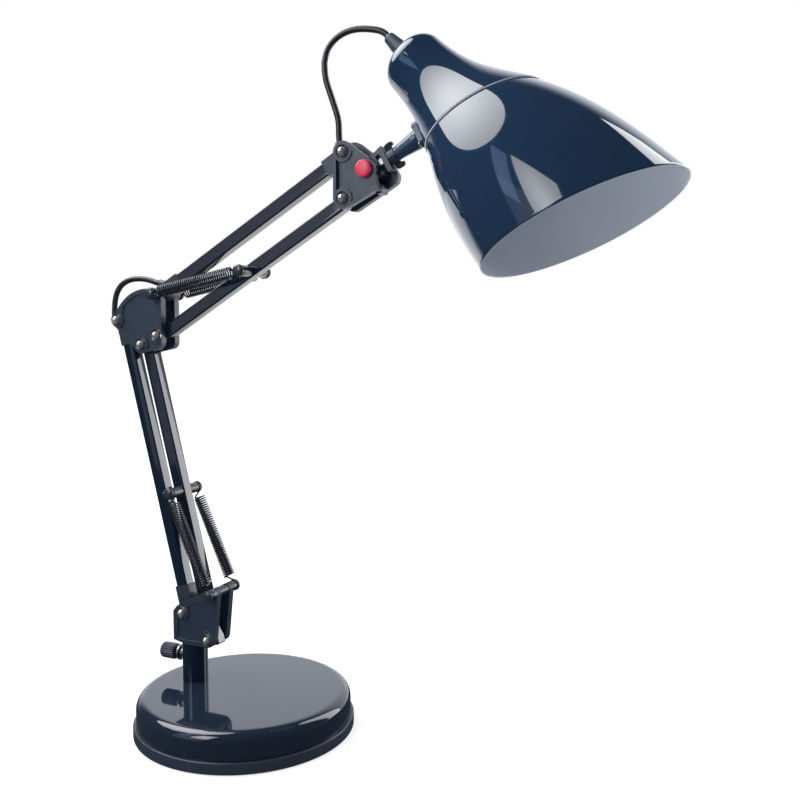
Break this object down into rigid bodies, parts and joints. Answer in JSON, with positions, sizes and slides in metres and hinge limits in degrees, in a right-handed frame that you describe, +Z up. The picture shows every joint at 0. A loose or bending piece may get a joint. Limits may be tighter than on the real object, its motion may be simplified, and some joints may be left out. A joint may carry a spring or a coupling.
{
  "type": "accordion desk lamp",
  "caption": "Desk lamp with a weighted round base, two spring-balanced parallelogram arms of square tube and a flared shade that tilts and swivels on a stem.",
  "frame": {"origin": "centre of the round base, on the table face under the foot pad", "axes": "+Z up; the arms swing in the plane y = 0 and the lamp reaches towards +X at rest, with the camera side at -Y"},
  "size_m": [0.4489, 0.17, 0.5216],
  "materials": {
    "pad_foam": "matt closed-cell foam",
    "plain_steel": "zinc-plated",
    "black_plastic": "semi-gloss moulded",
    "iron": "rough cast",
    "base_paint": "high-gloss lacquer",
    "black_rubber": "matt",
    "navy_paint": "high-gloss lacquer",
    "bracket_plastic": "fine satin texture",
    "bright_rivet": "polished nickel",
    "pin_paint": "gloss enamel",
    "red_plastic": "glossy moulded",
    "shade_paint": "high-gloss navy outside, white enamel inside",
    "brass_part": "satin",
    "holder_plastic": "heat-proof moulded",
    "spring_wire": "blackened spring steel",
    "cord_sheath": "smooth semi-matt sheath"
  },
  "bodies": {
    "base": {"foot_pad": "pad_foam", "bottom_plate": "plain_steel", "base_screws": "plain_steel", "skirt_ring": "black_plastic", "ballast": "iron", "base_cover": "base_paint", "cable_grommet": "black_rubber", "post_tube": "navy_paint", "clamp_boss": "plain_steel", "post_bush": "plain_steel", "post_bolt": "plain_steel"},
    "thumbscrew": {"thumb_knob": "black_plastic", "thumb_screw": "plain_steel"},
    "swivel bracket": {"swivel_spigot": "plain_steel", "lower_block": "bracket_plastic", "lower_plate_near": "bracket_plastic", "lower_plate_far": "bracket_plastic", "lower_rivets": "bright_rivet", "lower_spring_pin": "pin_paint", "lower_spring_near": "spring_wire", "lower_spring_far": "spring_wire"},
    "front bar": {"front_bar": "navy_paint", "front_bar_plugs": "black_plastic", "arm_spring_pin": "pin_paint"},
    "rear bar": {"rear_bar": "navy_paint", "rear_bar_ends": "black_plastic"},
    "elbow bracket": {"elbow_plate_near": "bracket_plastic", "elbow_plate_far": "bracket_plastic", "elbow_rivets": "bright_rivet", "elbow_spring_pin": "pin_paint", "elbow_spacer": "plain_steel", "upper_spring_near": "spring_wire", "upper_spring_far": "spring_wire", "elbow_cord": "cord_sheath"},
    "bottom bar": {"bottom_bar": "navy_paint", "bottom_bar_plugs": "black_plastic", "upper_spring_pin": "pin_paint"},
    "top bar": {"top_bar": "navy_paint", "top_bar_ends": "black_plastic"},
    "head bracket": {"head_plate_near": "bracket_plastic", "head_plate_far": "bracket_plastic", "head_rivets": "bright_rivet", "head_block": "bracket_plastic", "tilt_bolt": "plain_steel", "tilt_cap": "red_plastic", "tilt_nut": "plain_steel", "head_cord": "cord_sheath"},
    "knuckle": {"knuckle": "bracket_plastic"},
    "wing nut": {"wing_nut": "bracket_plastic"},
    "shade": {"stem": "navy_paint", "stem_bolt": "plain_steel", "shade_bracket": "navy_paint", "shade_bolts": "bright_rivet", "shade_neck": "shade_paint", "shade_bowl": "shade_paint", "shade_gland": "bracket_plastic", "gland_nipple": "brass_part", "lampholder_body": "holder_plastic", "lampholder_thread": "brass_part", "lampholder_contact": "brass_part"}
  },
  "joints": [
    {"name": "base_swivel", "type": "hinge", "parent": "base", "child": "swivel bracket", "pos_m": [-0.047, 0, 0.0608], "axis": [0, 0, 1], "range_deg": [-170, 170]},
    {"name": "thumb_turn", "type": "hinge", "parent": "base", "child": "thumbscrew", "pos_m": [-0.0645, 0, 0.0492], "axis": [1, 0, 0], "range_deg": [-720, 0]},
    {"name": "lower_arm_lean", "type": "hinge", "parent": "swivel bracket", "child": "front bar", "pos_m": [-0.027, 0, 0.0674], "axis": [0, 1, 0], "range_deg": [-12, 9.5], "deforming": ["lower_spring_near", "lower_spring_far"]},
    {"name": "rear_bar_lean", "type": "hinge", "parent": "swivel bracket", "child": "rear bar", "pos_m": [-0.0505, 0, 0.0864], "axis": [0, 1, 0], "range_deg": [-12.5, 10]},
    {"name": "elbow_level", "type": "hinge", "parent": "front bar", "child": "elbow bracket", "pos_m": [-0.08481, 0, 0.29755], "axis": [0, 1, 0], "range_deg": [-10, 12.5]},
    {"name": "upper_arm_lift", "type": "hinge", "parent": "elbow bracket", "child": "bottom bar", "pos_m": [-0.06961, 0, 0.30465], "axis": [0, -1, 0], "range_deg": [-60, 33], "deforming": ["upper_spring_near", "upper_spring_far", "elbow_cord"]},
    {"name": "top_bar_lift", "type": "hinge", "parent": "elbow bracket", "child": "top bar", "pos_m": [-0.06961, 0, 0.33665], "axis": [0, -1, 0], "range_deg": [-61, 34]},
    {"name": "head_level", "type": "hinge", "parent": "bottom bar", "child": "head bracket", "pos_m": [0.0941, 0, 0.40108], "axis": [0, -1, 0], "range_deg": [-34, 61]},
    {"name": "head_tilt", "type": "hinge", "parent": "head bracket", "child": "knuckle", "pos_m": [0.1115, 0, 0.42008], "axis": [0, -1, 0], "range_deg": [-28, 45], "deforming": ["head_cord"]},
    {"name": "shade_swivel", "type": "hinge", "parent": "knuckle", "child": "shade", "pos_m": [0.1115, 0, 0.42008], "axis": [0.8788, 0, 0.4772], "range_deg": [-85, 95]},
    {"name": "wing_nut_turn", "type": "hinge", "parent": "knuckle", "child": "wing nut", "pos_m": [0.1282, 0, 0.42915], "axis": [0.8788, 0, 0.4772], "range_deg": [-360, 0]}
  ],
  "couplings": [
    {"joint": "rear_bar_lean", "follows": "lower_arm_lean", "ratio": 1},
    {"joint": "elbow_level", "follows": "lower_arm_lean", "ratio": -1},
    {"joint": "top_bar_lift", "follows": "upper_arm_lift", "ratio": 1},
    {"joint": "head_level", "follows": "upper_arm_lift", "ratio": -1}
  ]
}
